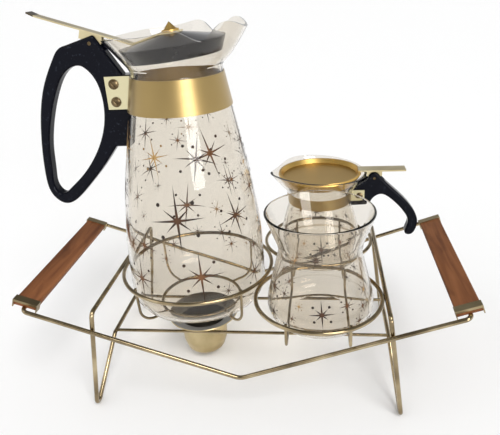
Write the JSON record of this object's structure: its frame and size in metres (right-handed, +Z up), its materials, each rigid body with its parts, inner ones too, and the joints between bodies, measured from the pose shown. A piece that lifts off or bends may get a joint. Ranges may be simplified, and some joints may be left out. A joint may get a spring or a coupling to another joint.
{
  "type": "coffee carafe service on warming stand",
  "caption": "Glass coffee carafe and creamer with hinged lids and an open glass sugar bowl, set in rings of a bent brass-wire warming stand with wooden grips and a candle cup.",
  "frame": {"origin": "centre of the overall box, on the table", "axes": "+Z up, +X along the stand towards the creamer and sugar end, +Y to the back; the sugar bowl is in front"},
  "size_m": [0.3832, 0.2172, 0.3329],
  "materials": {
    "brass_wire": "aged satin wire",
    "brass_sheet": "satin sheet",
    "brass_collar": "bright satin spun sheet",
    "bronze_screws": "dark bronze",
    "walnut": "oiled walnut",
    "clear_glass": "clear, printed with small stars",
    "black_moulding": "gloss black"
  },
  "bodies": {
    "stand": {"frame_wire": "brass_wire", "left_leg_wire": "brass_wire", "right_leg_wire": "brass_wire", "front_cross_wire": "brass_wire", "back_cross_wire": "brass_wire", "carafe_ring": "brass_wire", "sugar_ring": "brass_wire", "creamer_ring": "brass_wire", "carafe_basket_wires": "brass_wire", "carafe_base_ring": "brass_wire", "sugar_cradle_wires": "brass_wire", "creamer_cradle_wires": "brass_wire", "left_grip_slat": "walnut", "right_grip_slat": "walnut", "left_end_caps": "brass_sheet", "right_end_caps": "brass_sheet", "candle_cup": "brass_sheet"},
    "carafe": {"carafe_glass": "clear_glass", "carafe_collar": "brass_collar", "carafe_handle": "black_moulding", "carafe_collar_screws": "bronze_screws", "carafe_hinge_pin": "bronze_screws"},
    "carafe_lid": {"carafe_lid_plug": "black_moulding", "carafe_lid_knob": "brass_collar", "carafe_lid_lever": "brass_sheet"},
    "creamer": {"creamer_glass": "clear_glass", "creamer_collar": "brass_collar", "creamer_handle": "black_moulding", "creamer_collar_screw": "bronze_screws", "creamer_hinge_pin": "bronze_screws"},
    "creamer_lid": {"creamer_lid_dish": "brass_collar", "creamer_lid_lever": "brass_sheet"},
    "sugar_bowl": {"sugar_glass": "clear_glass"}
  },
  "joints": [
    {"name": "carafe_lift", "type": "slide", "parent": "stand", "child": "carafe", "axis": [0, 0, 1], "range_m": [0, 0.15]},
    {"name": "creamer_lift", "type": "slide", "parent": "stand", "child": "creamer", "axis": [0, 0, 1], "range_m": [0, 0.15]},
    {"name": "sugar_lift", "type": "slide", "parent": "stand", "child": "sugar_bowl", "axis": [0, 0, 1], "range_m": [0, 0.15]},
    {"name": "carafe_lid_hinge", "type": "hinge", "parent": "carafe", "child": "carafe_lid", "pos_m": [-0.11656, 0, 0.3066], "axis": [0, -1, 0], "range_deg": [0, 30]},
    {"name": "creamer_lid_hinge", "type": "hinge", "parent": "creamer", "child": "creamer_lid", "pos_m": [0.11951, 0.0543, 0.1663], "axis": [0, 1, 0], "range_deg": [0, 32]}
  ]
}
